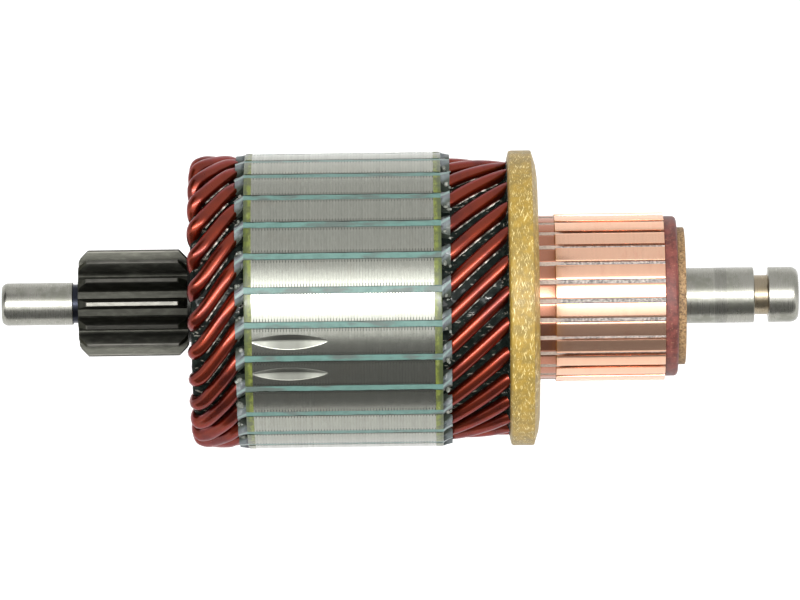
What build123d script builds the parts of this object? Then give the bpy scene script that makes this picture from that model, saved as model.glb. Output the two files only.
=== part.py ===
"""Wound armature of a gear-reduction starter motor, in millimetres.

The shaft lies along X, with the sun gear end at -X and the commutator end at +X. The origin is on
the shaft's axis, at the middle of the drive-end journal. Sections across the shaft are drawn in
(radius, along-the-circle) coordinates, and angles turn right-handed about +X, from -Y.
"""
from build123d import *
import os
from math import atan2, cos, degrees, radians, sin

# Shaft, from the drive-end tip to the commutator-end tip
drive_journal_length = 14.46
drive_journal_radius = 4.33
drive_journal_chamfer = 0.9
neck_length = 1.3
neck_radius = 3.95
gear_length = 22.2
gear_to_core = 13.5
seat_radius = 8.2
commutator_journal_length = 14.1
commutator_journal_radius = 5.67
clip_groove_width = 2.9
clip_groove_radius = 4.02
shaft_end_length = 6.2
shaft_end_radius = 5.63
shaft_end_chamfer = 1.2

# Sun gear, cut in the shaft
gear_teeth = 14
gear_module = 1.375
gear_tip_radius = 11.0
gear_root_radius = 7.9
gear_land_width = 1.1
gear_root_thickness = 2.7
gear_phase = 1.0
gear_lead_in_length = 1.6
gear_lead_in_depth = 2.0

# Laminated core
slot_count = 27
slot_phase = -3.95
core_length = 36.7
core_radius = 30.0
lip_height = 0.9
slot_opening = 1.1

# Balancing cuts milled in two teeth
scallop_length = 15.6
scallop_width = 2.5
scallop_depth = 0.7
scallop_teeth = (1, 2)

# End insulation discs
disc_thickness = 1.5
disc_opening = 2.1
disc_overhang = 0.1
disc_bore_clearance = 0.6

# Slot liners and their cuffs
liner_thickness = 0.25
liner_clearance = 0.05
liner_ridge_width = 1.0
liner_ridge_height = 0.62
cuff_length = 1.8
cuff_root = 0.1
cuff_root_inset = 0.4
drive_cuff_flare = 2.75
drive_cuff_rise = 0.65
commutator_cuff_flare = 1.75
commutator_cuff_back_flare = 0.4

# Hairpin winding
wire_diameter = 3.0
wire_facets = 6
layer_gap = 0.35
riser_layer_gap = 0.15
half_span_slots = 2
head_reach = 11.5
head_outer_bulge = 1.0
head_inner_dip = 0.25
nose_run = 1.4
nose_sweep = 4.9
bend_lead = 0.75
head_rise_run = 2.4
wire_end_inset = 0.4

# Commutator
core_to_band = 15.0
band_to_riser = 1.2
riser_thickness = 3.5
riser_wire_drop = 0.94
riser_wire_cover = 0.34
collar_length = 3.25
collar_radius = 16.7
track_length = 22.2
track_radius = 17.1
bar_gap = 0.86
undercut_depth = 0.8
undercut_margin = 0.4
undercut_run_in = 1.6
foot_radius = 12.4

# Banding ring, end ring and pressed-fibre washer
band_width = 6.25
band_thickness = 1.9
band_inner_clearance = 0.04
band_left_lean = 0.5
band_flat_width = 4.0
band_shoulder_dip = 0.2
band_shoulder_drop = 0.6
end_ring_length = 2.64
end_ring_radius = 16.3
washer_thickness = 1.63
washer_radius = 14.0

# Stations along the shaft
shaft_start = -drive_journal_length / 2
neck_start = drive_journal_length / 2
gear_start = neck_start + neck_length
gear_end = gear_start + gear_length
core_start = gear_end + gear_to_core
core_end = core_start + core_length
drive_disc_face = core_start - disc_thickness
commutator_disc_face = core_end + disc_thickness
nose_x = core_start - head_reach
band_start = core_end + core_to_band
riser_start = band_start + band_to_riser
riser_end = riser_start + riser_thickness
collar_start = band_start + band_width
track_start = collar_start + collar_length
track_end = track_start + track_length
hub_end = track_end + end_ring_length
washer_end = hub_end + washer_thickness
groove_start = washer_end + commutator_journal_length
groove_end = groove_start + clip_groove_width
shaft_stop = groove_end + shaft_end_length

# Radii and pitches that follow
slot_pitch = 360 / slot_count
wire_radius = wire_diameter / 2
wire_room = wire_radius + liner_clearance
slot_half_width = wire_room + liner_thickness
slot_top_radius = core_radius - lip_height
outer_leg_radius = slot_top_radius - slot_half_width
inner_leg_radius = outer_leg_radius - wire_diameter - layer_gap
head_outer_radius = outer_leg_radius + head_outer_bulge
head_inner_radius = inner_leg_radius + head_inner_dip
slot_bottom_radius = inner_leg_radius - slot_half_width
riser_wire_radius = outer_leg_radius - riser_wire_drop
riser_inner_wire_radius = riser_wire_radius - wire_diameter - riser_layer_gap
riser_radius = riser_wire_radius + wire_radius + riser_wire_cover
band_radius = riser_radius + band_thickness
disc_radius = core_radius + disc_overhang
half_span = half_span_slots * slot_pitch


def across(x):
    """The plane across the shaft at x, with its own axes outwards and along the circle."""
    return Plane(origin=(x, 0, 0), x_dir=(0, -1, 0), z_dir=(1, 0, 0))


def turned(profile):
    """A solid of revolution from (x, radius) points."""
    return revolve(make_face(Polyline(*profile, close=True)), Axis.X, 360)


def around(shape, index):
    """A copy of a shape at the slot with this index."""
    return shape.rotate(Axis.X, slot_phase + slot_pitch * index)


def on_circle(x, radius, angle):
    """The point at a station, a radius and an angle."""
    return Vector(x, -radius * cos(radians(angle)), -radius * sin(radians(angle)))


def gear_tooth_gap():
    """The space between two teeth, with flanks that bend at the pitch circle, open past the tips."""
    half_pitch = 180 / gear_teeth
    pitch_radius = gear_module * gear_teeth / 2
    tooth_at_root = degrees(gear_root_thickness / 2 / gear_root_radius)
    tooth_at_pitch = 90 / gear_teeth
    tooth_at_tip = degrees(gear_land_width / 2 / gear_tip_radius)

    def flank_point(radius, tooth_angle, side):
        angle = radians(half_pitch - tooth_angle) * side
        return (radius * cos(angle), radius * sin(angle))

    root = [flank_point(gear_root_radius, tooth_at_root, side) for side in (-1, 1)]
    pitch = [flank_point(pitch_radius, tooth_at_pitch, side) for side in (-1, 1)]
    tip = [flank_point(gear_tip_radius, tooth_at_tip, side) for side in (-1, 1)]
    clear = [(point[0] + gear_module, point[1]) for point in tip]
    outline = Polyline(tip[0], pitch[0], root[0], root[1], pitch[1], tip[1], clear[1], clear[0], close=True)
    return make_face(outline)


def sun_gear():
    """The toothed blank, with a flat lead-in cut on each tooth at both ends."""
    low = gear_tip_radius - gear_lead_in_depth
    places = PolarLocations(0, gear_teeth, start_angle=gear_phase + 180 / gear_teeth)
    gaps = Sketch() + places * gear_tooth_gap()
    teeth = extrude(across(gear_start) * (Circle(gear_tip_radius) - gaps), gear_length)
    lead_ins = [
        (gear_start, low),
        (gear_start + gear_lead_in_length, gear_tip_radius),
        (gear_end - gear_lead_in_length, gear_tip_radius),
        (gear_end, low),
    ]
    facets = Rot(0, 0, gear_phase) * RegularPolygon(1, gear_teeth, major_radius=False, rotation=180 / gear_teeth)
    return teeth & loft([across(x) * facets.scale(radius) for x, radius in lead_ins], ruled=True)


def shaft():
    """The turned shaft, with the sun gear in one piece with it."""
    drive_side = turned([
        (shaft_start, 0),
        (shaft_start, drive_journal_radius - drive_journal_chamfer / 2),
        (shaft_start + drive_journal_chamfer, drive_journal_radius),
        (neck_start, drive_journal_radius),
        (neck_start, neck_radius),
        (gear_start, neck_radius),
        (gear_start, 0),
    ])
    commutator_side = turned([
        (gear_end, 0),
        (gear_end, seat_radius),
        (washer_end, seat_radius),
        (washer_end, commutator_journal_radius),
        (groove_start, commutator_journal_radius),
        (groove_start, clip_groove_radius),
        (groove_end, clip_groove_radius),
        (groove_end, shaft_end_radius),
        (shaft_stop - shaft_end_chamfer, shaft_end_radius),
        (shaft_stop, shaft_end_radius - shaft_end_chamfer),
        (shaft_stop, 0),
    ])
    return drive_side + sun_gear() + commutator_side


def slot_outline():
    """One semi-closed slot of the core, with its narrow opening between two lips."""
    opening = slot_opening / 2
    top = slot_top_radius
    half = slot_half_width
    right = [
        (core_radius + lip_height, opening),
        (top, opening),
        (top, half),
        (slot_bottom_radius, half),
    ]
    left = [(r, -t) for r, t in reversed(right)]
    return make_face(Polyline(*right, *left, close=True))


def scallop_cutter():
    """A wheel with a shallow V rim, sunk into a tooth by the depth of the cut."""
    wheel_radius = scallop_length ** 2 / (8 * scallop_depth)
    rim = make_face(Polyline(
        (0, wheel_radius),
        (scallop_width, wheel_radius - 2 * scallop_depth),
        (-scallop_width, wheel_radius - 2 * scallop_depth),
        close=True,
    ))
    wheel = revolve(rim, Axis.X, 360).rotate(Axis.Y, 90)
    centre_distance = core_radius + wheel_radius - scallop_depth
    return Pos(core_start + scallop_length / 2, -centre_distance, 0) * wheel


def core_stack():
    """The pressed stack of laminations, with its slots and two balancing cuts."""
    slots = PolarLocations(0, slot_count, start_angle=slot_phase) * slot_outline()
    sheet = Circle(core_radius) - Circle(seat_radius) - slots
    stack = extrude(across(core_start) * sheet, core_length)
    for tooth in scallop_teeth:
        stack -= around(scallop_cutter(), tooth + 0.5)
    return stack


def disc_slot_outline():
    """One slot of an insulation disc, wider at its opening and with sloping lips."""
    right = [
        (core_radius + lip_height, disc_opening / 2),
        (core_radius, disc_opening / 2),
        (slot_top_radius, slot_half_width),
        (slot_bottom_radius, slot_half_width),
    ]
    left = [(r, -t) for r, t in reversed(right)]
    return make_face(Polyline(*right, *left, close=True))


def insulation_disc(start):
    """A fibre disc with the core's tooth pattern and straight-cut teeth, against one end of the core."""
    slots = PolarLocations(0, slot_count, start_angle=slot_phase) * disc_slot_outline()
    rim = Rot(0, 0, slot_phase) * RegularPolygon(disc_radius, slot_count)
    sheet = rim - Circle(seat_radius + disc_bore_clearance) - slots
    return extrude(across(start) * sheet, disc_thickness)


def cuff(start, direction, rise, low_flare, high_flare):
    """The paper flap that opens out over a wire as it leaves the core."""
    half = slot_half_width
    slant = degrees(atan2(rise, cuff_length))
    outline = make_face(Polyline(
        (-direction * cuff_root, cuff_root_inset - half),
        (-direction * cuff_root, half - cuff_root_inset),
        (direction * cuff_length, half + high_flare),
        (direction * cuff_length, -half - low_flare),
        close=True,
    ))
    flap = extrude(Plane(origin=(0, 0, 0), x_dir=(1, 0, 0), z_dir=(0, 1, 0)) * outline, liner_thickness)
    return Pos(start, -slot_top_radius, 0) * (Rot(0, 0, -direction * slant) * flap)


def slot_liner():
    """The folded paper of one slot, with its ridge in the opening and a flap at each end."""
    length = commutator_disc_face - drive_disc_face
    height = slot_top_radius - slot_bottom_radius
    width = 2 * slot_half_width
    paper = 2 * liner_thickness
    middle = (slot_bottom_radius + slot_top_radius) / 2
    folded = Pos(middle, 0) * (Rectangle(height, width) - Rectangle(height - paper, width - paper))
    ridge_middle = slot_top_radius + liner_ridge_height / 2
    ridge = Pos(ridge_middle, 0) * Rectangle(liner_ridge_height, liner_ridge_width)
    tube = extrude(across(drive_disc_face) * (folded + ridge), length)
    drive_cuff = cuff(drive_disc_face, -1, drive_cuff_rise, 0, drive_cuff_flare)
    commutator_cuff = cuff(commutator_disc_face, 1, 0, commutator_cuff_flare, commutator_cuff_back_flare)
    return tube + drive_cuff + commutator_cuff


def hairpin_route():
    """Stations of one hairpin, as (x, radius, angle from its outer slot), riser to riser."""
    inner_slot = 2 * half_span
    splay_start = commutator_disc_face + bend_lead
    splay_end = riser_start - bend_lead
    twist_start = drive_disc_face - bend_lead
    twist_end = nose_x + nose_run
    rise_share = head_rise_run / (twist_start - twist_end)
    outer_side = [
        (riser_end - wire_end_inset, riser_wire_radius, -half_span),
        (splay_end, riser_wire_radius, -half_span),
        (splay_start, outer_leg_radius, 0),
        (twist_start, outer_leg_radius, 0),
        (twist_start - head_rise_run, head_outer_radius, (half_span - nose_sweep) * rise_share),
        (twist_end, head_outer_radius, half_span - nose_sweep),
        (nose_x, (head_outer_radius + head_inner_radius) / 2, half_span),
    ]
    inner_side = [
        (twist_end, head_inner_radius, half_span + nose_sweep),
        (twist_start, inner_leg_radius, inner_slot),
        (splay_start, inner_leg_radius, inner_slot),
        (splay_end, riser_inner_wire_radius, inner_slot + half_span),
        (riser_end - wire_end_inset, riser_inner_wire_radius, inner_slot + half_span),
    ]
    return outer_side + inner_side


def hairpin():
    """One enamelled wire: two legs in slots four apart, a twisted nose, and two splayed ends."""
    points = [on_circle(*station) for station in hairpin_route()]
    start = Plane(origin=points[0], z_dir=points[1] - points[0], x_dir=on_circle(0, 1, -half_span))
    section = start * RegularPolygon(wire_radius, wire_facets, rotation=180 / wire_facets)
    return sweep(section, path=Polyline(*points), transition=Transition.RIGHT)


def mirrored(profile):
    """The same (x, radius) points on the -Y side, where the angle is zero."""
    return [(x, -radius) for x, radius in profile]


def commutator_bar():
    """One copper bar: brush track, collar, and the riser with its slot for two wire ends."""
    profile = [
        (riser_start, riser_radius),
        (riser_end, riser_radius),
        (riser_end, collar_radius),
        (track_start, collar_radius),
        (track_start, track_radius),
        (track_end, track_radius),
        (track_end, foot_radius),
        (riser_start, foot_radius),
    ]
    face = make_face(Polyline(*mirrored(profile), close=True))
    sector = revolve(face, Axis.X, slot_pitch).rotate(Axis.X, -slot_pitch / 2)
    length = track_end - riser_start
    gap = Pos(riser_start + length / 2, -riser_radius / 2, 0) * Box(2 * length, 2 * riser_radius, bar_gap)
    floor = riser_inner_wire_radius - wire_room
    notch_height = riser_radius - floor
    notch = Pos(riser_start, -floor - notch_height, 0) * Box(
        4 * riser_thickness, 2 * notch_height, 2 * wire_room
    )
    lower = gap.rotate(Axis.X, -slot_pitch / 2)
    upper = gap.rotate(Axis.X, slot_pitch / 2)
    return sector - lower - upper - notch


def mica_segment():
    """One mica strip: full height between the risers, flush in the collar, undercut in the track."""
    undercut_start = track_start + undercut_margin
    profile = [
        (riser_start, riser_radius),
        (riser_end, riser_radius),
        (riser_end, collar_radius),
        (undercut_start, collar_radius),
        (undercut_start + undercut_run_in, track_radius - undercut_depth),
        (track_end, track_radius - undercut_depth),
        (track_end, foot_radius),
        (riser_start, foot_radius),
    ]
    return extrude(make_face(Polyline(*mirrored(profile), close=True)), bar_gap / 2, both=True)


def commutator_hub():
    """The moulded hub that holds the bars' feet, with the raised ring at its outer end."""
    return turned([
        (riser_start, seat_radius),
        (hub_end, seat_radius),
        (hub_end, end_ring_radius),
        (track_end, end_ring_radius),
        (track_end, foot_radius),
        (riser_start, foot_radius),
    ])


def riser_band():
    """The banding ring over the risers, with the web of resin down to the collar."""
    inner = riser_radius + band_inner_clearance
    flat_start = band_start + band_left_lean
    flat_end = flat_start + band_flat_width
    return turned([
        (band_start, inner),
        (flat_start, band_radius),
        (flat_end, band_radius),
        (collar_start - band_shoulder_drop, riser_radius - band_shoulder_dip),
        (collar_start, collar_radius + band_inner_clearance),
        (riser_end, collar_radius + band_inner_clearance),
        (riser_end, inner),
    ])


def end_washer():
    """The pressed-fibre washer between the hub and the bearing."""
    return turned([
        (hub_end, seat_radius),
        (hub_end, washer_radius),
        (washer_end, washer_radius),
        (washer_end, seat_radius),
    ])


def save(name, shape):
    """Write one node, or one group of separate solids."""
    export_step(shape, f"parts/{name}.step")


def group(piece):
    """Copies of one piece at all the slots."""
    return Compound(children=[around(piece, index) for index in range(slot_count)])


os.makedirs("parts", exist_ok=True)
save("shaft", shaft())
save("core_stack", core_stack())
save("drive_end_insulator", insulation_disc(drive_disc_face))
save("commutator_end_insulator", insulation_disc(core_end))
save("slot_liners", group(slot_liner()))
save("commutator_bars", group(commutator_bar()))
save("mica_segments", group(mica_segment().rotate(Axis.X, slot_pitch / 2)))
save("commutator_hub", commutator_hub())
save("riser_band", riser_band())
save("end_washer", end_washer())
one_hairpin = hairpin()
for index in range(slot_count):
    save(f"hairpin_{index + 1:02d}", around(one_hairpin, index))
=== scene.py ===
"""Looks of a wound motor armature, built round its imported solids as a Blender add-on.

The shaft lies along X with the sun gear at -X, the origin is in the middle of the drive-end journal,
and sizes are in metres. Angles turn right-handed about +X, from -Y.
"""

from math import atan2, cos, dist, hypot, pi, radians, sin
from random import Random

import bpy
from bpy.props import FloatProperty, FloatVectorProperty, IntProperty, PointerProperty
from bpy.types import Operator, Panel, PropertyGroup
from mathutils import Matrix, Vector


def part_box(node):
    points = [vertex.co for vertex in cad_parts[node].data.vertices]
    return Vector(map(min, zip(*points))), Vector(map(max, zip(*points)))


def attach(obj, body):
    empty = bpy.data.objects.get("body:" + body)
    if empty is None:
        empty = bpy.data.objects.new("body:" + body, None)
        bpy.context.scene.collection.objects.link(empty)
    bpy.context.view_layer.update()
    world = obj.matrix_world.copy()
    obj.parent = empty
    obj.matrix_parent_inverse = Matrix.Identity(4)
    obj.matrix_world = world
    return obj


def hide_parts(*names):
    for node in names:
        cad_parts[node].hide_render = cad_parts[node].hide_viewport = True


bl_info = {
    "name": "Motor Armature",
    "version": (1, 0, 0),
    "blender": (4, 2, 0),
    "location": "View3D > Sidebar > Armature",
    "description": "Adds the detailed pieces of a wound motor armature, and a pale studio",
    "category": "Add Mesh",
}

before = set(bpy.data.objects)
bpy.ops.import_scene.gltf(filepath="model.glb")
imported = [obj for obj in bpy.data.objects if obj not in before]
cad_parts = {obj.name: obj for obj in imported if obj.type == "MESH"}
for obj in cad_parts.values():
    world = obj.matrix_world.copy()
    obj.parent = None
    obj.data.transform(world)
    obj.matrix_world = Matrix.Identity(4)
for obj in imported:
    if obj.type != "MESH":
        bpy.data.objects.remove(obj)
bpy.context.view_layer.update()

MM = 0.001
SLOTS = 27
GEAR_TEETH = 14
SLOT_PITCH = 2 * pi / SLOTS
SLOT_PHASE = radians(-3.95)
GEAR_PHASE = radians(1.0)


def ends(node):
    """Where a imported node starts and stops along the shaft."""
    low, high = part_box(node)
    return low.x, high.x


SHAFT_START, SHAFT_STOP = ends("shaft")
CORE_START, CORE_END = ends("core_stack")
DRIVE_FACE = ends("drive_end_insulator")[0]
COMMUTATOR_FACE = ends("commutator_end_insulator")[1]
RISER_START, TRACK_END = ends("commutator_bars")
BAND_START, COLLAR_START = ends("riser_band")
HUB_END = ends("commutator_hub")[1]
WASHER_END = ends("end_washer")[1]
NOSE_X = CORE_START - 11.5 * MM
MILLED_MIDDLE = CORE_START + 7.5 * MM

CORE_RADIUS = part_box("core_stack")[1].z
JOURNAL_RADIUS = 4.33 * MM
NECK_START = 7.23 * MM
NECK_RADIUS = 3.95 * MM
GEAR_START = 8.53 * MM
GEAR_END = 30.73 * MM
TOOTH_RADIUS = 11.0 * MM
SEAT_RADIUS = 8.2 * MM
REAR_JOURNAL_RADIUS = 5.67 * MM
WORN_START = 138.0 * MM
WORN_END = 140.4 * MM
GROOVE_START = 146.0 * MM
GROOVE_END = 148.9 * MM
GROOVE_RADIUS = 4.02 * MM
TIP_RADIUS = 5.63 * MM
SLOT_TOP = 29.1 * MM
SLOT_HALF = 1.8 * MM
SLOT_BOTTOM = 22.15 * MM
OUTER_WIRE = 27.3 * MM
INNER_WIRE = 23.95 * MM
RISER_END = RISER_START + 3.5 * MM
RISER_RADIUS = 28.2 * MM
RISER_WIRE = 26.36 * MM
INNER_RISER_WIRE = RISER_WIRE - 3.15 * MM
BAND_RADIUS = 30.1 * MM
COLLAR_RADIUS = 16.7 * MM
TRACK_START = COLLAR_START + 3.25 * MM
TRACK_RADIUS = 17.1 * MM
FOOT_RADIUS = 12.4 * MM
END_RING_RADIUS = 16.3 * MM
WASHER_RADIUS = 14.0 * MM
HALF_SPAN = 2 * SLOT_PITCH


def measure(name, description, value, **more):
    """A length property in metres."""
    return FloatProperty(name=name, description=description, default=value, unit="LENGTH", **more)


def power(name, description, value):
    """A lamp's power property."""
    return FloatProperty(name=name, description=description, default=value, unit="POWER")


def colour(name, description, value):
    """A colour property in linear red, green and blue."""
    return FloatVectorProperty(
        name=name, description=description, subtype="COLOR", size=3, min=0, max=1, default=value,
    )


class WindingSizes(PropertyGroup):
    """Sizes of the hairpin wires and of the paper round them."""

    wire_diameter: measure("Wire diameter", "Thickness of the round enamelled wire", 0.003, min=0.001)
    head_radius: measure("Head radius", "Radius on which the outer wires twist at the drive end", 0.0283)
    head_inner_radius: measure("Inner head radius", "Radius on which the inner wires twist", 0.0242)
    bend_round: measure("Bend rounding", "How far each side of a corner the wire's bend reaches", 0.0019)
    nose_run: measure("Nose run", "Length along the shaft of the turn between the layers", 0.0016)
    nose_sweep: FloatProperty(
        name="Nose sweep", description="Angle that each side of the turn takes",
        default=radians(4.6), subtype="ANGLE",
    )
    cuff_length: measure("Cuff length", "How far the slot paper stands out of the end discs", 0.0018)
    paper_thickness: measure("Paper thickness", "Thickness of the slot paper", 0.00025)


class CoreSizes(PropertyGroup):
    """Sizes of the laminated core, its end discs and the shaft."""

    lamination: measure("Lamination", "Thickness of one punched sheet", 0.00059, min=0.0003)
    seam_depth: measure("Seam depth", "Depth of the line between two sheets", 0.00001)
    seam_notch: measure("Seam notch", "How far the line between two sheets bites into a slot's edge", 0.0003)
    slot_opening: measure("Slot opening", "Width of a slot's mouth at the rim", 0.0014)
    disc_opening: measure("Disc opening", "Width of a slot's mouth in the end discs", 0.00145)
    turning_steps: IntProperty(
        name="Turning steps", description="Flats round a full turned surface", default=144, min=24,
    )


class CommutatorSizes(PropertyGroup):
    """Sizes of the commutator's bars."""

    bar_gap: measure("Bar gap", "Width of the mica slot between two bars", 0.00086)
    bar_edge: measure("Bar edge", "Width of the broken edge of a bar", 0.00012)


class FinishColours(PropertyGroup):
    """Colours of the armature's finishes."""

    ground_steel: colour("Ground steel", "Journals and shaft ends", (0.37, 0.365, 0.325))
    gear_steel: colour("Gear steel", "Flanks and roots of the sun gear", (0.05, 0.05, 0.042))
    sheet_steel: colour("Sheet steel", "Turned edges of the laminations", (0.37, 0.378, 0.332))
    disc_fibre: colour("Disc fibre", "Yellow-green end discs", (0.125, 0.15, 0.022))
    slot_paper: colour("Slot paper", "Teal paper seen in the slots", (0.10, 0.19, 0.165))
    cuff_paper: colour("Cuff paper", "Grey paper round the wires", (0.12, 0.14, 0.142))
    enamel: colour("Enamel", "Copper wire under red-brown enamel", (0.22, 0.026, 0.007))
    copper: colour("Copper", "Bare copper of the brush track", (0.94, 0.57, 0.40))
    mica: colour("Mica", "Pale strips between the bars", (0.50, 0.40, 0.34))
    end_resin: colour("End resin", "Dark red-brown moulded ring", (0.085, 0.021, 0.016))
    band_resin: colour("Band resin", "Ochre resin and glass fibre", (0.32, 0.205, 0.028))
    tan_fibre: colour("Tan fibre", "Pressed fibre ring", (0.25, 0.145, 0.06))
    # partly painted shade: the varnish is near black so that the pools also stand for the shade inside the
    # winding
    varnish: colour("Varnish", "Dark impregnating varnish between the wires", (0.004, 0.006, 0.005))


class StudioSettings(PropertyGroup):
    """The floor and the soft lights."""

    floor_drop: measure("Floor drop", "How far the floor lies under the shaft's axis", 0.22)
    front_power: power("Front light", "Power of the soft light behind the camera", 34.0)
    upper_power: power("Upper light", "Power of the dimmer light over the front one", 3.4)
    strip_power: power("Strip light", "Power of the narrow bright light inside the front one", 26.0)
    floor_colour: colour("Floor colour", "The plain pale floor", (0.92, 0.92, 0.92))


class Amount:
    """A number inside a material, which adds its own Math nodes."""

    def __init__(self, finish, socket):
        self.finish = finish
        self.socket = socket

    def combined(self, operation, first, second=0.0):
        """The amount that a Math node makes of one or two others."""
        node = self.finish.add("ShaderNodeMath", {"operation": operation}, {0: first, 1: second})
        return Amount(self.finish, node.outputs[0])

    def __add__(self, other):
        return self.combined("ADD", self, other)

    def __radd__(self, other):
        return self.combined("ADD", other, self)

    def __sub__(self, other):
        return self.combined("SUBTRACT", self, other)

    def __rsub__(self, other):
        return self.combined("SUBTRACT", other, self)

    def __mul__(self, other):
        return self.combined("MULTIPLY", self, other)

    def __rmul__(self, other):
        return self.combined("MULTIPLY", other, self)

    def __truediv__(self, other):
        return self.combined("DIVIDE", self, other)

    def __pow__(self, other):
        return self.combined("POWER", self, other)

    def __gt__(self, other):
        return self.combined("GREATER_THAN", self, other)

    def __lt__(self, other):
        return self.combined("LESS_THAN", self, other)

    def within(self, low, high):
        """1 between two values and 0 outside them."""
        return (self > low) * (self < high)

    def larger(self, other):
        """The larger of two amounts."""
        return self.combined("MAXIMUM", self, other)

    def absolute(self):
        return self.combined("ABSOLUTE", self)

    def whole(self):
        return self.combined("FLOOR", self)

    def ramp(self, start, stop):
        """0 at the first value, 1 at the second, and smooth between them."""
        node = self.finish.add(
            "ShaderNodeMapRange", {"interpolation_type": "SMOOTHSTEP"}, {0: self, 1: start, 2: stop},
        )
        return Amount(self.finish, node.outputs[0])


class Finish:
    """A material under construction."""

    def __init__(self, name, **constants):
        self.material = bpy.data.materials.new(name)
        self.material.use_nodes = True
        self.nodes = self.material.node_tree.nodes
        self.links = self.material.node_tree.links
        self.shader = self.nodes["Principled BSDF"]
        for socket, value in constants.items():
            self.shader.inputs[socket.replace("_", " ")].default_value = value
        self.place = self.add("ShaderNodeTexCoord", {}, {}).outputs["Object"]
        split = self.add("ShaderNodeSeparateXYZ", {}, {0: self.place})
        self.x, self.y, self.z = (Amount(self, output) for output in split.outputs)

    def add(self, kind, settings, sockets):
        """A node of this kind, with its settings and the values or links of its sockets."""
        node = self.nodes.new(kind)
        for key, value in settings.items():
            setattr(node, key, value)
        for key, value in sockets.items():
            if isinstance(value, Amount):
                value = value.socket
            if isinstance(value, bpy.types.NodeSocket):
                self.links.new(value, node.inputs[key])
            else:
                node.inputs[key].default_value = value
        return node

    def radius(self):
        """Distance from the shaft's axis."""
        return (self.y * self.y + self.z * self.z) ** 0.5

    def angle(self):
        """Angle round the shaft, from -Y."""
        return self.y.combined("ARCTAN2", self.z * -1.0, self.y * -1.0)

    def from_slot(self):
        """Distance along the rim from the middle of the nearest slot, positive towards larger angles."""
        turn = (self.angle() - SLOT_PHASE) / SLOT_PITCH
        return (turn - (turn + 0.5).whole()) * (SLOT_PITCH * CORE_RADIUS)

    def joined(self, x, y, z):
        """A vector from three amounts."""
        return self.add("ShaderNodeCombineXYZ", {}, {0: x, 1: y, 2: z}).outputs[0]

    def noise(self, scale, detail, roughness, grain=None, vector=None):
        """A cloudy pattern over the place or another vector, with its axes scaled to a grain."""
        vector = vector or self.place
        if grain:
            scaled = self.add("ShaderNodeVectorMath", {"operation": "MULTIPLY"}, {0: vector, 1: grain})
            vector = scaled.outputs[0]
        sockets = {"Vector": vector, "Scale": scale, "Detail": detail, "Roughness": roughness}
        return Amount(self, self.add("ShaderNodeTexNoise", {}, sockets).outputs[0])

    def blend(self, share, first, second):
        """Two colours, from the first at 0 to the second at 1."""
        sockets = {0: share}
        for index, value in ((6, first), (7, second)):
            sockets[index] = (*value, 1.0) if isinstance(value, tuple) else value
        return self.add("ShaderNodeMix", {"data_type": "RGBA"}, sockets).outputs[2]

    def layers(self, base, *coats):
        """A base colour with coats over it in turn, each given as its share and its colour."""
        for share, value in coats:
            base = self.blend(share, base, value)
        return base

    def done(self, height, depth, strength=1.0, **patterns):
        """The material, with these patterns in its sockets and a bump of this depth in metres."""
        for socket, value in patterns.items():
            value = value.socket if isinstance(value, Amount) else value
            self.links.new(value, self.shader.inputs[socket.replace("_", " ")])
        bump = self.add("ShaderNodeBump", {}, {"Strength": strength, "Distance": depth, "Height": height})
        self.links.new(bump.outputs[0], self.shader.inputs["Normal"])
        return self.material


def shade(value, factor):
    """A colour made darker or lighter."""
    return tuple(min(1.0, part * factor) for part in value)


def tone(name):
    """One of the user's colours as a plain tuple."""
    return tuple(getattr(bpy.context.scene.armature_colours, name))


def ground_steel():
    """Ground and polished shaft steel, with fine rings from the wheel, stains, a worn band and painted shade
    on the hidden seat by the core.
    """
    finish = Finish("ground_steel", Metallic=1.0)
    base = tone("ground_steel")
    rings = finish.noise(5200.0, 3.0, 0.7, (1.0, 0.02, 0.02))
    stains = finish.noise(260.0, 5.0, 0.65)
    steel = finish.layers(
        base,
        (stains.ramp(0.45, 0.65) * 0.6, (0.22, 0.225, 0.18)),
        (finish.x.within(WORN_START, WORN_END) * 0.5, shade(base, 0.6)),
        (finish.x.within(NECK_START, GEAR_START), (0.03, 0.033, 0.045)),
        # painted shade: the seat between the gear and the core is painted near black, as if in shadow
        (finish.x.within(GEAR_END, CORE_START), (0.02, 0.02, 0.018)),
        (finish.x.within(GROOVE_START, GROOVE_END) * 0.55, (0.34, 0.24, 0.12)),
    )
    roughness = rings * 0.12 + 0.22 + stains.ramp(0.5, 0.8) * 0.1
    return finish.done(rings, 0.006 * MM, Base_Color=steel, Roughness=roughness)


def gear_steel():
    """Hobbed teeth: dark oiled flanks and roots, and bright worn lands."""
    finish = Finish("gear_steel", Metallic=1.0, Specular_Tint=(0.4, 0.4, 0.37, 1.0))
    dark = tone("gear_steel")
    land = finish.radius().ramp(TOOTH_RADIUS - 0.45 * MM, TOOTH_RADIUS - 0.05 * MM)
    lines = finish.noise(2600.0, 3.0, 0.6, (0.15, 1.0, 1.0))
    stains = finish.noise(900.0, 5.0, 0.6, (0.4, 1.0, 1.0))
    bright = finish.blend(stains.ramp(0.4, 0.7), (0.16, 0.156, 0.138), (0.11, 0.108, 0.096))
    steel = finish.layers(
        dark,
        (stains.ramp(0.4, 0.75), shade(dark, 1.7)),
        (land * 0.9, bright),
        (finish.x > GEAR_END - 0.02 * MM, (0.05, 0.05, 0.045)),
    )
    roughness = stains * 0.12 + lines * 0.12 + 0.34 - land * 0.06
    return finish.done(lines + stains, 0.01 * MM, Base_Color=steel, Roughness=roughness)


def sheet_pitch(sizes):
    """Length that one sheet takes when a whole number of them fills the core."""
    return (CORE_END - CORE_START) / round((CORE_END - CORE_START) / sizes.lamination)


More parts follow.
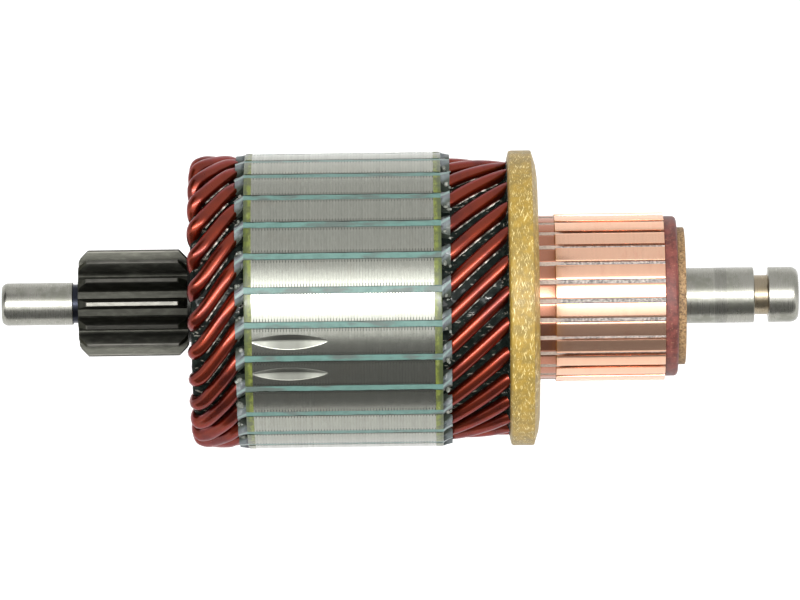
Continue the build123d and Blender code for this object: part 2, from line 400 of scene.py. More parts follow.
def sheet_steel():
    """Turned edges of thin sheets, each a little lighter or darker than the next, with painted shade in the
    notches at the slots' mouths, on the milled lenses and deep in the slots.
    """
    sizes = bpy.context.scene.armature_core
    finish = Finish("sheet_steel", Metallic=1.0)
    base = tone("sheet_steel")
    count = (finish.x - CORE_START) / sheet_pitch(sizes)
    sheet = count.whole()
    share = count - sheet
    seam = share.ramp(0.6, 0.74) - share.ramp(0.84, 1.0)
    white_noise = finish.add("ShaderNodeTexWhiteNoise", {"noise_dimensions": "1D"}, {"W": sheet})
    each = Amount(finish, white_noise.outputs[0])
    smear = finish.noise(1500.0, 4.0, 0.65, (0.6, 1.0, 1.0))
    patches = finish.noise(160.0, 3.0, 0.5)
    along_rim = finish.joined(finish.x, finish.angle() * (4.0 * MM), 0.0)
    streaks = finish.noise(3400.0, 2.0, 0.7, vector=along_rim)
    # painted shade: the sheet lines are painted near black where they meet the slots' mouths, as if the
    # notches were in shadow
    notch_shade = (finish.from_slot().absolute() < sizes.slot_opening / 2 + 0.6 * MM) * seam
    radius = finish.radius()
    cut_floor = CORE_RADIUS - 0.78 * MM
    milled = radius.within(cut_floor, CORE_RADIUS - 0.05 * MM)
    painted_lens_light = (finish.x - MILLED_MIDDLE).absolute().ramp(1.5 * MM, 6.0 * MM)
    steel = finish.layers(
        base,
        (each * 0.3, shade(base, 0.7)),
        (streaks.ramp(0.5, 0.75) * 0.3, shade(base, 1.35)),
        (streaks.ramp(0.48, 0.25) * 0.3, shade(base, 0.6)),
        (seam * 0.18, shade(base, 0.5)),
        (smear.ramp(0.55, 0.85) * 0.3, shade(base, 0.5)),
        (patches.ramp(0.52, 0.75) * 0.2, (0.32, 0.29, 0.24)),
        (notch_shade * 0.85, (0.03, 0.035, 0.03)),
        # painted shade: the milled lenses are darkened, most in their middle, with painted light towards
        # their ends
        (milled, finish.blend(painted_lens_light, shade(base, 0.4), shade(base, 0.75))),
        # painted shade: everything deeper than the lenses' floor, the slot walls and the bore, is painted
        # near black
        (radius < cut_floor, (0.03, 0.03, 0.032)),
    )
    roughness = each * 0.05 + smear * 0.08 + 0.15 + milled * 0.3
    return finish.done(each * 0.3 + smear * 0.5, 0.01 * MM, Base_Color=steel, Roughness=roughness)


def disc_fibre():
    """Yellow-green varnished fibre with a cloudy body and dark outer faces."""
    finish = Finish("disc_fibre", Coat_Roughness=0.12, Specular_IOR_Level=0.5)
    base = tone("disc_fibre")
    cloud = finish.noise(700.0, 4.0, 0.6)
    grain = finish.noise(900.0, 3.0, 0.6, (4.0, 1.0, 1.0))
    outer = finish.x.ramp(DRIVE_FACE + 1.0 * MM, DRIVE_FACE + 0.4 * MM)
    outer += finish.x.ramp(COMMUTATOR_FACE - 1.0 * MM, COMMUTATOR_FACE - 0.4 * MM)
    body = finish.layers(
        base,
        (cloud.ramp(0.42, 0.58) * 0.85, shade(base, 0.38)),
        (grain.ramp(0.55, 0.8) * 0.5, (0.40, 0.43, 0.20)),
        (outer * (cloud * 0.5 + 0.5), (0.04, 0.055, 0.018)),
    )
    return finish.done(
        cloud, 0.04 * MM,
        Base_Color=body, Roughness=cloud * 0.3 + 0.25, Coat_Weight=cloud.ramp(0.3, 0.6) * 0.7,
    )


def slot_paper():
    """Varnish-soaked slot paper: teal in the slots, blue-grey where it cuffs the wires, and darker on the
    cuffs away from their folds, partly as soaked paper and partly as painted shade.
    """
    finish = Finish("slot_paper", Coat_Roughness=0.08, Coat_Weight=0.35, Specular_IOR_Level=0.3)
    x = finish.x
    teal = tone("slot_paper")
    cloud = finish.noise(600.0, 4.0, 0.6)
    long = finish.noise(420.0, 3.0, 0.5, (0.3, 1.0, 1.0))
    strip = finish.layers(
        teal,
        (cloud.ramp(0.4, 0.7) * 0.5, shade(teal, 0.6)),
        (long.ramp(0.5, 0.64) * 0.75, (0.085, 0.095, 0.085)),
    )
    # partly painted shade: the cuffs darken away from their folds, partly varnish-soaked paper and partly
    # painted shade, and turn a lighter teal along the folds
    fold = (x < CORE_START) * (DRIVE_FACE - x) * 0.8 - (x > CORE_END) * (x - COMMUTATOR_FACE) * 0.9
    aside = (finish.from_slot() - fold).absolute()
    cuff = finish.layers(
        tone("cuff_paper"),
        (cloud.ramp(0.45, 0.7) * 0.7, (0.10, 0.09, 0.11)),
        (aside.ramp(0.9 * MM, 1.9 * MM) * 0.85, (0.03, 0.038, 0.025)),
        ((1.0 - aside.ramp(0.1 * MM, 0.45 * MM)) * 0.6, (0.21, 0.30, 0.27)),
    )
    paper = finish.blend((x < DRIVE_FACE) + (x > COMMUTATOR_FACE), strip, cuff)
    return finish.done(cloud, 0.05 * MM, Base_Color=paper, Roughness=cloud * 0.3 + 0.25)


def enamel():
    """Round copper wire under glossy red-brown enamel."""
    finish = Finish(
        "enamel", Coat_Weight=0.6, Coat_Roughness=0.13, Metallic=0.95, Specular_Tint=(0.6, 0.15, 0.1, 1.0),
    )
    tint = finish.noise(160.0, 3.0, 0.5)
    runs = finish.noise(1500.0, 3.0, 0.6)
    wire = finish.blend(tint.ramp(0.4, 0.7) * 0.6, tone("enamel"), (0.06, 0.006, 0.008))
    return finish.done(runs, 0.01 * MM, 0.6, Base_Color=wire, Roughness=runs * 0.1 + 0.24)


def copper():
    """Bare turned copper, redder on the collar, darker in the grooves, with brush marks on the track."""
    finish = Finish("copper", Metallic=1.0)
    base = tone("copper")
    rings = finish.noise(3800.0, 4.0, 0.75, (1.0, 0.03, 0.03))
    wear = finish.noise(500.0, 4.0, 0.6, (1.0, 0.35, 0.35))
    skin = finish.layers(
        base,
        (rings.ramp(0.35, 0.75) * 0.25, shade(base, 0.8)),
        (wear.ramp(0.5, 0.8) * 0.4, (0.85, 0.42, 0.29)),
        ((finish.x < TRACK_START) * 0.7, (0.75, 0.30, 0.20)),
        ((finish.radius() < TRACK_RADIUS - 0.3 * MM) * 0.6, (0.25, 0.10, 0.06)),
    )
    return finish.done(rings, 0.004 * MM, Base_Color=skin, Roughness=rings * 0.06 + 0.2)


def mica():
    """Mica strips: pale and flush in the collar, grey and rough where undercut."""
    finish = Finish("mica", Roughness=0.75)
    base = tone("mica")
    grain = finish.noise(2400.0, 4.0, 0.7)
    patches = grain.ramp(0.35, 0.7)
    pale = finish.blend(patches, base, shade(base, 0.6))
    grey = finish.blend(patches, (0.12, 0.12, 0.12), (0.55, 0.52, 0.48))
    undercut = finish.x.ramp(TRACK_START, TRACK_START + 1.5 * MM)
    return finish.done(grain, 0.05 * MM, Base_Color=finish.blend(undercut, pale, grey))


def end_resin():
    """Moulded dark red-brown resin, mottled and dusty."""
    finish = Finish("end_resin")
    base = tone("end_resin")
    cloud = finish.noise(500.0, 5.0, 0.65)
    specks = finish.noise(2600.0, 3.0, 0.6)
    body = finish.layers(
        base,
        (cloud.ramp(0.4, 0.62) * 0.85, shade(base, 2.2)),
        (specks.ramp(0.58, 0.7) * 0.6, (0.36, 0.17, 0.10)),
    )
    return finish.done(cloud + specks, 0.04 * MM, Base_Color=body, Roughness=cloud * 0.3 + 0.35)


def band_resin():
    """Glass fibre wound in clear ochre resin, with short pale fibres whose bright streaks are partly painted
    glints.
    """
    finish = Finish("band_resin", Coat_Roughness=0.25)
    around = finish.angle() * (30.0 * MM)
    leaning = finish.joined(finish.x + around * 0.3, around * 0.16, 0.0)
    crossing = finish.joined(finish.x - around * 0.2, around * 0.14, 3.0)
    fibres = finish.noise(3600.0, 3.0, 0.65, vector=leaning)
    fibres = fibres.larger(finish.noise(3900.0, 3.0, 0.65, vector=crossing))
    cloud = finish.noise(500.0, 4.0, 0.6)
    body = finish.layers(
        tone("band_resin"),
        (cloud.ramp(0.38, 0.62) * 0.85, (0.21, 0.145, 0.03)),
        # partly painted highlight: the fibres' light streaks stand for their own paler colour and for glints
        # of the lamps
        (fibres.ramp(0.57, 0.7), (0.8, 0.66, 0.30)),
        (fibres.ramp(0.47, 0.30) * 0.8, (0.16, 0.10, 0.03)),
    )
    return finish.done(
        fibres, 0.06 * MM,
        Base_Color=body, Roughness=0.6 - fibres * 0.2, Coat_Weight=fibres.ramp(0.5, 0.7) * 0.4,
    )


def tan_fibre():
    """Speckled tan pressed fibre."""
    finish = Finish("tan_fibre")
    base = tone("tan_fibre")
    specks = finish.noise(2200.0, 4.0, 0.75)
    body = finish.layers(
        base,
        (specks.ramp(0.45, 0.68), (0.50, 0.33, 0.16)),
        (specks.ramp(0.48, 0.38), (0.07, 0.035, 0.015)),
        (finish.noise(420.0, 3.0, 0.6) * 0.35, shade(base, 0.6)),
    )
    return finish.done(specks, 0.05 * MM, Base_Color=body, Roughness=specks * 0.3 + 0.5)


def varnish(name, base, light):
    """Impregnating varnish, clouded from one colour to a lighter one, with glossy glints that are also
    painted pale.
    """
    finish = Finish(name, Coat_Roughness=0.06, Specular_IOR_Level=0.0)
    runs = finish.noise(900.0, 3.0, 0.5)
    glints = finish.noise(1500.0, 2.0, 0.6, (0.35, 1.0, 1.0)).ramp(0.6, 0.68)
    # painted highlight: the glint specks are also lightened in colour, over their real coat
    body = finish.layers(base, (runs.ramp(0.4, 0.75), light), (glints * 0.5, (0.30, 0.29, 0.24)))
    return finish.done(
        runs + glints, 0.06 * MM,
        Base_Color=body, Roughness=runs * 0.2 + 0.3, Coat_Weight=glints * 0.85 + 0.12,
    )


def polar(x, radius, angle):
    """The place at a station, a radius and an angle round the shaft."""
    return Vector((x, -radius * cos(angle), -radius * sin(angle)))


def near(x, radius, *offsets):
    """Profile points at millimetre offsets, along and out, from a station and a radius."""
    return [(x + along * MM, radius + out * MM) for along, out in offsets]


def activate(piece):
    """Selects one piece alone and makes it the active one."""
    bpy.ops.object.select_all(action="DESELECT")
    piece.select_set(True)
    bpy.context.view_layer.objects.active = piece


def rename(piece, name):
    """Gives a piece and its mesh the same name."""
    piece.name = name
    piece.data.name = name


def pull(along, across=0.0, up=0.0, scale=1.0):
    """Extrudes the selection by this much, and scales it about the shaft's axis."""
    bpy.ops.mesh.extrude_region_move(TRANSFORM_OT_translate={"value": (along, across, up)})
    if scale != 1.0:
        bpy.ops.transform.resize(value=(1, scale, scale), center_override=(0, 0, 0))


def drawn(name, points):
    """A new mesh in edit mode: one point pulled through these places, with all its edges selected."""
    bpy.ops.mesh.primitive_plane_add(size=MM)
    piece = bpy.context.object
    rename(piece, name)
    bpy.ops.object.mode_set(mode="EDIT")
    bpy.ops.mesh.select_mode(type="VERT")
    bpy.ops.mesh.select_all(action="SELECT")
    bpy.ops.mesh.merge(type="CENTER")
    bpy.ops.transform.translate(value=points[0])
    for here, there in zip(points, points[1:]):
        pull(*(there - here))
    bpy.ops.mesh.select_all(action="SELECT")
    return piece


def merge():
    """Merges what coincides."""
    bpy.ops.mesh.select_all(action="SELECT")
    bpy.ops.mesh.remove_doubles(threshold=0.001 * MM)


def weld():
    """Merges what coincides and turns the faces outwards."""
    merge()
    bpy.ops.mesh.normals_make_consistent(inside=False)


def close_up():
    """Welds the mesh and leaves edit mode."""
    weld()
    bpy.ops.object.mode_set(mode="OBJECT")


def repeat_round(count):
    """Repeats the selected outline all round the shaft, as one outline."""
    for _ in range(count - 1):
        bpy.ops.mesh.duplicate()
        bpy.ops.transform.rotate(
            value=-2 * pi / count, orient_axis="X", orient_type="GLOBAL", center_override=(0, 0, 0),
        )
    merge()


def turned(name, profile, fineness=1):
    """A turned piece from (x, radius) points. A profile that starts off the axis is closed to a ring."""
    points = [polar(x, radius, 0) for x, radius in profile]
    if profile[0][1] > 0:
        points.append(points[0])
    piece = drawn(name, points)
    steps = fineness * bpy.context.scene.armature_core.turning_steps
    bpy.ops.mesh.spin(steps=steps, angle=2 * pi, center=(0, 0, 0), axis=(1, 0, 0))
    close_up()
    return piece


def finished(piece, material, smooth_angle, node=None):
    """Shades a piece, gives it its material, and rides it on the armature in place of its node."""
    if bpy.context.mode != "OBJECT":
        bpy.ops.object.mode_set(mode="OBJECT")
    activate(piece)
    bpy.ops.object.transform_apply()
    bpy.ops.object.shade_smooth_by_angle(angle=radians(smooth_angle))
    piece.data.materials.clear()
    piece.data.materials.append(material)
    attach(piece, "root")
    if node:
        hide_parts(node)


def apply_modifier(piece, kind, **settings):
    """Adds a modifier to a piece and applies it."""
    activate(piece)
    modifier = piece.modifiers.new(kind.title(), kind)
    for key, value in settings.items():
        setattr(modifier, key, value)
    bpy.ops.object.modifier_apply(modifier=modifier.name)


def cut(piece, operation, tool):
    """Applies a boolean and takes its tool away."""
    apply_modifier(piece, "BOOLEAN", operation=operation, object=tool, solver="EXACT")
    bpy.data.objects.remove(tool)


def roughen(piece, name, grain, height):
    """Gives a piece an uneven surface with bumps of this size and height."""
    pattern = bpy.data.textures.new(name, "CLOUDS")
    pattern.noise_scale = grain
    apply_modifier(
        piece, "DISPLACE", texture=pattern, texture_coords="GLOBAL", strength=height, mid_level=0.5,
    )


def join(pieces, name):
    """Several pieces as one object."""
    activate(pieces[0])
    for piece in pieces:
        piece.select_set(True)
    bpy.ops.object.join()
    rename(pieces[0], name)
    return pieces[0]


def copies_round(piece):
    """Own copies of a piece in every slot round the shaft."""
    made = []
    for index in range(SLOTS):
        activate(piece)
        bpy.ops.object.duplicate(linked=False)
        copy = bpy.context.object
        copy.rotation_euler.x = SLOT_PHASE + index * SLOT_PITCH
        bpy.ops.object.transform_apply(location=False, rotation=True, scale=False)
        made.append(copy)
    bpy.data.objects.remove(piece)
    return made


def tooth_outline():
    """Half a pitch each side of one gear tooth's middle, as (radius, angle) points."""
    half = pi / GEAR_TEETH
    flank = [
        (7.9, 1.0), (7.92, 0.62), (8.25, 0.47), (8.9, 0.42),
        (9.6, 0.34), (10.3, 0.255), (10.85, 0.185), (11.0, 0.145),
    ]
    up = [(radius * MM, -share * half) for radius, share in flank]
    down = [(radius, -angle) for radius, angle in reversed(up)]
    return [*up, (TOOTH_RADIUS, 0.0), *down]


class ARMATURE_OT_add_shaft(Operator):
    """Add the shaft: journals, sun gear, clip groove and seats"""

    bl_idname = "armature.add_shaft"
    bl_label = "Add shaft"

    def execute(self, context):
        stub = turned("stub", [
            (SHAFT_START, 0),
            *near(SHAFT_START, JOURNAL_RADIUS, (0, -0.75), (0.12, -0.5), (0.75, -0.06), (1.1, 0)),
            *near(NECK_START, JOURNAL_RADIUS, (-0.12, 0), (0, -0.12)),
            *near(NECK_START, NECK_RADIUS, (0, 0.03), (0.15, 0)),
            (GEAR_START, NECK_RADIUS),
            (GEAR_START, 0),
        ])
        rounded_tip = (-1.6, 0), (-1.0, -0.12), (-0.45, -0.45), (-0.1, -0.95), (0, -1.4)
        rear = turned("rear", [
            (GEAR_END, 0),
            (GEAR_END, SEAT_RADIUS),
            (WASHER_END, SEAT_RADIUS),
            (WASHER_END, REAR_JOURNAL_RADIUS),
            *near(GROOVE_START, REAR_JOURNAL_RADIUS, (-0.15, 0), (0, -0.15)),
            *near(GROOVE_START, GROOVE_RADIUS, (0, 0.3), (0.1, 0.08), (0.3, 0)),
            *near(GROOVE_END, GROOVE_RADIUS, (-0.3, 0), (-0.1, 0.08), (0, 0.3)),
            *near(GROOVE_END, TIP_RADIUS, (0, -0.15), (0.15, 0)),
            *near(SHAFT_STOP, TIP_RADIUS, *rounded_tip),
            (SHAFT_STOP, 0),
        ])
        finished(join([stub, rear], "shaft_turned"), ground_steel(), 35.0, "shaft")
        finished(self.add_gear(), gear_steel(), 38.0, "shaft")
        return {"FINISHED"}

    def add_gear(self):
        """The toothed outline pulled to its length and cut to a blank with bevelled ends."""
        gear = drawn("sun_gear", [polar(GEAR_START, r, GEAR_PHASE + angle) for r, angle in tooth_outline()])
        repeat_round(GEAR_TEETH)
        bpy.ops.mesh.edge_face_add()
        pull(GEAR_END - GEAR_START)
        close_up()
        bevel = [(0, 8.7), (0.35, 9.35), (1.9, 11.02)]
        blank = turned("gear_blank", [
            (GEAR_START, 0),
            *near(GEAR_START, 0, *bevel),
            *near(GEAR_END, 0, *((-along, radius) for along, radius in reversed(bevel))),
            (GEAR_END, 0),
        ])
        cut(gear, "INTERSECT", blank)
        return gear


def toothed_sheet(name, x, opening, rim_radius, lip):
    """A slotted outline all round the shaft in edit mode. Its slots' mouths have a lip or slope."""
    half_pitch = SLOT_PITCH / 2
    edge = atan2(opening / 2, rim_radius)
    arc_steps = 3
    arc = [(rim_radius, half_pitch - (half_pitch - edge) * k / arc_steps) for k in range(arc_steps + 1)]
    wall = [(SLOT_TOP, opening / 2)] if lip else []
    wall += [(SLOT_TOP, SLOT_HALF), (SLOT_BOTTOM, SLOT_HALF)]
    side = arc + [(hypot(out, aside), atan2(aside, out)) for out, aside in wall]
    outline = [(radius, -angle) for radius, angle in side] + side[::-1]
    piece = drawn(name, [polar(x, radius, SLOT_PHASE + angle) for radius, angle in outline])
    repeat_round(SLOTS)
    return piece


class ARMATURE_OT_add_core(Operator):
    """Add the laminated core, sheet by sheet, with its slots and two balancing cuts"""

    bl_idname = "armature.add_core"
    bl_label = "Add laminated core"

    def execute(self, context):
        sizes = context.scene.armature_core
        core = toothed_sheet("laminated_core", CORE_START, sizes.slot_opening, CORE_RADIUS, True)
        bpy.ops.mesh.edge_face_add()
        pitch = sheet_pitch(sizes)
        seam_share = 0.42
        seam = pitch * seam_share
        shrink = 1 - sizes.seam_depth / CORE_RADIUS
        for _ in range(round((CORE_END - CORE_START) / pitch) - 1):
            pull(pitch - seam)
            pull(seam / 2, scale=shrink)
            pull(seam / 2, scale=1 / shrink)
        pull(pitch - seam)
        pull(seam)
        close_up()
        self.notch(core, pitch, 1 - seam_share / 2, sizes)
        for tooth, half_width in ((1, 1.7 * MM), (2, 1.55 * MM)):
            self.mill(core, SLOT_PHASE + (tooth + 0.5) * SLOT_PITCH, half_width)
        finished(core, sheet_steel(), 15.0, "core_stack")
        return {"FINISHED"}

    def notch(self, core, pitch, seam_phase, sizes):
        """Draws the lines between the sheets back from the slots' mouths."""
        for vertex in core.data.vertices:
            phase = ((vertex.co.x - CORE_START) / pitch) % 1.0
            if abs(phase - seam_phase) > 0.02:
                continue
            radius = hypot(vertex.co.y, vertex.co.z)
            turn = atan2(-vertex.co.z, -vertex.co.y) - SLOT_PHASE
            offset = turn - round(turn / SLOT_PITCH) * SLOT_PITCH
            if radius > SLOT_TOP - 0.01 * MM and abs(offset) * radius < 0.75 * sizes.slot_opening:
                side = 1 if offset > 0 else -1
                vertex.co = polar(vertex.co.x, radius, turn + SLOT_PHASE + side * sizes.seam_notch / radius)

    def mill(self, core, angle, half_width):
        """Cuts a shallow lens into one tooth, with a wheel whose V rim is a little steeper above."""
        length = 16.6 * MM
        depth = 0.72 * MM
        lean = 0.12
        wheel_radius = length ** 2 / (8 * depth)
        half_rim = [(0.06, 0.12), (0.18, 0.2), (0.4, 0.4), (2.0, 2.0)]
        corners = [
            Vector((wheel_radius - fall * depth, 0, (lean + aside - lean * abs(aside)) * half_width))
            for aside, fall in [*((-aside, fall) for aside, fall in reversed(half_rim)), *half_rim]
        ]
        wheel = drawn("wheel", [*corners, corners[0]])
        bpy.ops.mesh.spin(steps=160, angle=2 * pi, center=(0, 0, 0), axis=(0, 0, 1))
        close_up()
        wheel.location = (MILLED_MIDDLE, -(CORE_RADIUS + wheel_radius - depth), 0)
        bpy.ops.object.transform_apply()
        wheel.rotation_euler.x = angle
        bpy.ops.object.transform_apply()
        cut(core, "DIFFERENCE", wheel)


class ARMATURE_OT_add_discs(Operator):
    """Add the two yellow-green insulation discs at the core's ends"""

    bl_idname = "armature.add_discs"
    bl_label = "Add end discs"

    def execute(self, context):
        material = disc_fibre()
        opening = context.scene.armature_core.disc_opening
        for name, node, start, stop in (
            ("drive_disc", "drive_end_insulator", DRIVE_FACE, CORE_START),
            ("commutator_disc", "commutator_end_insulator", CORE_END, COMMUTATOR_FACE),
        ):
            disc = self.add_disc(name, start, stop, opening)
            finished(disc, material, 30.0, node)
        return {"FINISHED"}

    def add_disc(self, name, start, stop, opening):
        """One disc: its outline and bore filled, and pulled to a rim that rounds off on the outer face."""
        rounding = 0.3 * MM
        small = 0.9945
        steps = [(stop - start - rounding, 1.0), (rounding, small)]
        rim = CORE_RADIUS + 0.06 * MM
        if start < CORE_START:
            steps = [(rounding, 1 / small), (stop - start - rounding, 1.0)]
            rim *= small
        disc = toothed_sheet(name, start, opening, rim, False)
        bpy.ops.object.mode_set(mode="OBJECT")
        bpy.ops.mesh.primitive_circle_add(
            vertices=96, radius=SEAT_RADIUS + 0.6 * MM, location=(start, 0, 0), rotation=(0, pi / 2, 0),
        )
        disc = join([disc, bpy.context.object], name)
        bpy.ops.object.mode_set(mode="EDIT")
        bpy.ops.mesh.select_all(action="SELECT")
        bpy.ops.mesh.fill(use_beauty=True)
        bpy.ops.mesh.select_all(action="SELECT")
        for reach, scale in steps:
            pull(reach, scale=scale)
        weld()
        return disc


class ARMATURE_OT_add_liners(Operator):
    """Add the folded slot papers, with the cuffs that open round the wires"""

    bl_idname = "armature.add_liners"
    bl_label = "Add slot papers"

    def execute(self, context):
        papers = join(copies_round(self.add_paper(context.scene.armature_winding)), "slot_papers")
        roughen(papers, "paper_waves", 1.3 * MM, 0.26 * MM)
        finished(papers, slot_paper(), 30.0, "slot_liners")
        return {"FINISHED"}

    def add_paper(self, sizes):
        """One paper, drawn as its section and pulled along the slot, then opened at both ends."""
        half = SLOT_HALF - sizes.paper_thickness / 2
        top = SLOT_TOP - sizes.paper_thickness / 2
        bottom = SLOT_BOTTOM + sizes.paper_thickness / 2
        lip = 0.5 * MM
        ridge = 29.85 * MM
        section = [
            (ridge, -lip), (top, -lip), (top, -half), (bottom, -half),
            (bottom, half), (top, half), (top, lip), (ridge, lip),
        ]
        drive_end = [
            (29.6, 0.7), (29.3, 0.1), (28.0, -0.9), (21.9, -3.2),
            (21.9, 1.8), (28.0, 3.7), (29.1, 2.9), (29.6, 1.6),
        ]
        commutator_end = [
            (29.3, -1.7), (29.1, -2.1), (28.0, -2.7), (21.9, -1.4),
            (21.9, 3.2), (27.6, 1.5), (28.6, 0.8), (29.15, -0.7),
        ]
        points = [Vector((DRIVE_FACE - sizes.cuff_length, -out, -aside)) for out, aside in section]
        paper = drawn("paper", [*points, points[0]])
        merge()
        cuff_steps = 4
        straight_steps = 30
        cuff = [sizes.cuff_length / cuff_steps] * cuff_steps
        for reach in [*cuff, *[(COMMUTATOR_FACE - DRIVE_FACE) / straight_steps] * straight_steps, *cuff]:
            pull(reach)
        bpy.ops.object.mode_set(mode="OBJECT")
        for vertex in paper.data.vertices:
            place = (-vertex.co.y, -vertex.co.z)
            corner = min(range(len(section)), key=lambda k: dist(section[k], place))
            if vertex.co.x < DRIVE_FACE:
                share, target = (DRIVE_FACE - vertex.co.x) / sizes.cuff_length, drive_end[corner]
            elif vertex.co.x > COMMUTATOR_FACE:
                share, target = (vertex.co.x - COMMUTATOR_FACE) / sizes.cuff_length, commutator_end[corner]
            else:
                continue
            opened = between(place, (target[0] * MM, target[1] * MM), share ** 0.8)
            vertex.co.yz = -opened[0], -opened[1]
        apply_modifier(paper, "SOLIDIFY", thickness=sizes.paper_thickness, offset=0.0)
        bpy.ops.object.mode_set(mode="EDIT")
        close_up()
        return paper


def between(first, second, share):
    """What lies part of the way from one point or station to the next."""
    return tuple(a + (b - a) * share for a, b in zip(first, second))


def sampled(first, second, count):
    """Points or stations in equal steps after the first, up to the second."""
    return [between(first, second, k / count) for k in range(1, count + 1)]


def rounded_route(stations, reach, step):
    """Stations (x, radius, angle) with each corner rounded, sampled about every step."""
    def apart(first, second):
        return (polar(*second) - polar(*first)).length

    def straight(first, second):
        return sampled(first, second, max(2, int(apart(first, second) / step)))

    route = [stations[0]]
    bend_steps = 6
    most = 0.48
    for before, corner, after in zip(stations, stations[1:], stations[2:]):
        enter = between(corner, before, min(most, reach / apart(before, corner)))
        leave = between(corner, after, min(most, reach / apart(corner, after)))
        route += straight(route[-1], enter)
        for share in (k / bend_steps for k in range(1, bend_steps + 1)):
            route.append(between(between(enter, corner, share), between(corner, leave, share), share))
    return route + straight(route[-1], stations[-1])


def hairpin_stations(sizes):
    """Corners of one hairpin, riser to riser, as (x, radius, angle from its outer slot)."""
    lead = 0.75 * MM
    rise = 2.4 * MM
    layer_turn = 0.6 * MM
    lean = 0.35 * sizes.nose_sweep
    twist_start = DRIVE_FACE - lead
    twist_end = NOSE_X + sizes.nose_run
    splay_start = COMMUTATOR_FACE + lead
    splay_end = RISER_START - lead
    riser_end = RISER_END - 0.4 * MM
    swept_angle = HALF_SPAN - sizes.nose_sweep
    rise_share = rise / (twist_start - twist_end)
    return [
        (riser_end, RISER_WIRE, -HALF_SPAN),
        (splay_end, RISER_WIRE, -HALF_SPAN),
        (splay_start, OUTER_WIRE, 0.0),
        (twist_start, OUTER_WIRE, 0.0),
        (twist_start - rise, sizes.head_radius, swept_angle * rise_share),
        (twist_end, sizes.head_radius, swept_angle),
        (NOSE_X, sizes.head_radius - layer_turn, HALF_SPAN - lean),
        (NOSE_X, sizes.head_inner_radius + layer_turn, HALF_SPAN + lean),
        (twist_end, sizes.head_inner_radius, HALF_SPAN + sizes.nose_sweep),
        (twist_start, INNER_WIRE, 2 * HALF_SPAN),
        (splay_start, INNER_WIRE, 2 * HALF_SPAN),
        (splay_end, INNER_RISER_WIRE, 3 * HALF_SPAN),
        (riser_end, INNER_RISER_WIRE, 3 * HALF_SPAN),
    ]


def swept(name, route, radius, roundness):
    """A round wire along a route of stations, as a closed mesh."""
    bpy.ops.curve.primitive_nurbs_path_add(radius=MM)
    curve = bpy.context.object.data
    curve.splines.clear()
    line = curve.splines.new("POLY")
    line.points.add(len(route) - 1)
    for point, station in zip(line.points, route):
        point.co = (*polar(*station), 1.0)
    curve.dimensions = "3D"
    curve.bevel_depth = radius
    curve.bevel_resolution = roundness
    curve.use_fill_caps = True
    bpy.ops.object.convert(target="MESH")
    wire = bpy.context.object
    wire.name = name
    bpy.ops.object.mode_set(mode="EDIT")
    close_up()
    return wire


class ARMATURE_OT_add_winding(Operator):
    """Add the hairpin wires, each with two legs in the slots, a twisted nose and two splayed ends"""

    bl_idname = "armature.add_winding"
    bl_label = "Add winding"

    def execute(self, context):
        sizes = context.scene.armature_winding
        material = enamel()
        route = rounded_route(hairpin_stations(sizes), sizes.bend_round, 1.3 * MM)
        wires = copies_round(swept("hairpin", route, sizes.wire_diameter / 2, 4))
        for number, wire in enumerate(wires, 1):
            rename(wire, f"hairpin_wire_{number:02d}")
            finished(wire, material, 60.0, f"hairpin_{number:02d}")
        return {"FINISHED"}


class ARMATURE_OT_add_commutator(Operator):
    """Add the copper bars with their risers, and finish the mica strips and the hub"""

    bl_idname = "armature.add_commutator"
    bl_label = "Add commutator"

    def execute(self, context):
        bars = join(copies_round(self.add_bar(context.scene.armature_commutator)), "copper_bars")
        finished(bars, copper(), 25.0, "commutator_bars")
        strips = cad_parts["mica_segments"]
        strips.data.materials.clear()
        strips.data.materials.append(mica())
        hub = turned("moulded_hub", [
            (RISER_START, SEAT_RADIUS),
            (HUB_END, SEAT_RADIUS),
            *near(HUB_END, END_RING_RADIUS, (0, -0.75), (-0.1, -0.45), (-0.3, -0.2), (-0.65, -0.02)),
            *near(TRACK_END, END_RING_RADIUS, (0.15, 0), (0, -0.1)),
            (TRACK_END, FOOT_RADIUS),
            (RISER_START, FOOT_RADIUS),
        ])
        finished(hub, end_resin(), 30.0, "commutator_hub")
        return {"FINISHED"}

    def add_bar(self, sizes):
        """One bar: its side turned through a pitch, the sides cut parallel and the edges broken."""
        profile = [
            (RISER_START, RISER_RADIUS),
            (RISER_END, RISER_RADIUS),
            (RISER_END, COLLAR_RADIUS),
            (TRACK_START, COLLAR_RADIUS),
            (TRACK_START, TRACK_RADIUS),
            (TRACK_END, TRACK_RADIUS),
            (TRACK_END, FOOT_RADIUS),
            (RISER_START, FOOT_RADIUS),
            (RISER_START, RISER_RADIUS),
        ]
        bar = drawn("bar", [polar(x, radius, -SLOT_PITCH / 2) for x, radius in profile])
        merge()
        bpy.ops.mesh.edge_face_add()
        bpy.ops.mesh.spin(steps=4, angle=-SLOT_PITCH, center=(0, 0, 0), axis=(1, 0, 0))
        weld()
        for side in (-1, 1):
            edge = side * SLOT_PITCH / 2
            outwards = Vector((0, sin(edge), -cos(edge))) * side
            bpy.ops.mesh.select_all(action="SELECT")
            bpy.ops.mesh.bisect(
                plane_co=-outwards * sizes.bar_gap / 2, plane_no=outwards, use_fill=True, clear_outer=True,
            )
        close_up()
        apply_modifier(
            bar, "BEVEL", width=sizes.bar_edge, segments=2, limit_method="ANGLE", angle_limit=radians(40),
        )
        return bar


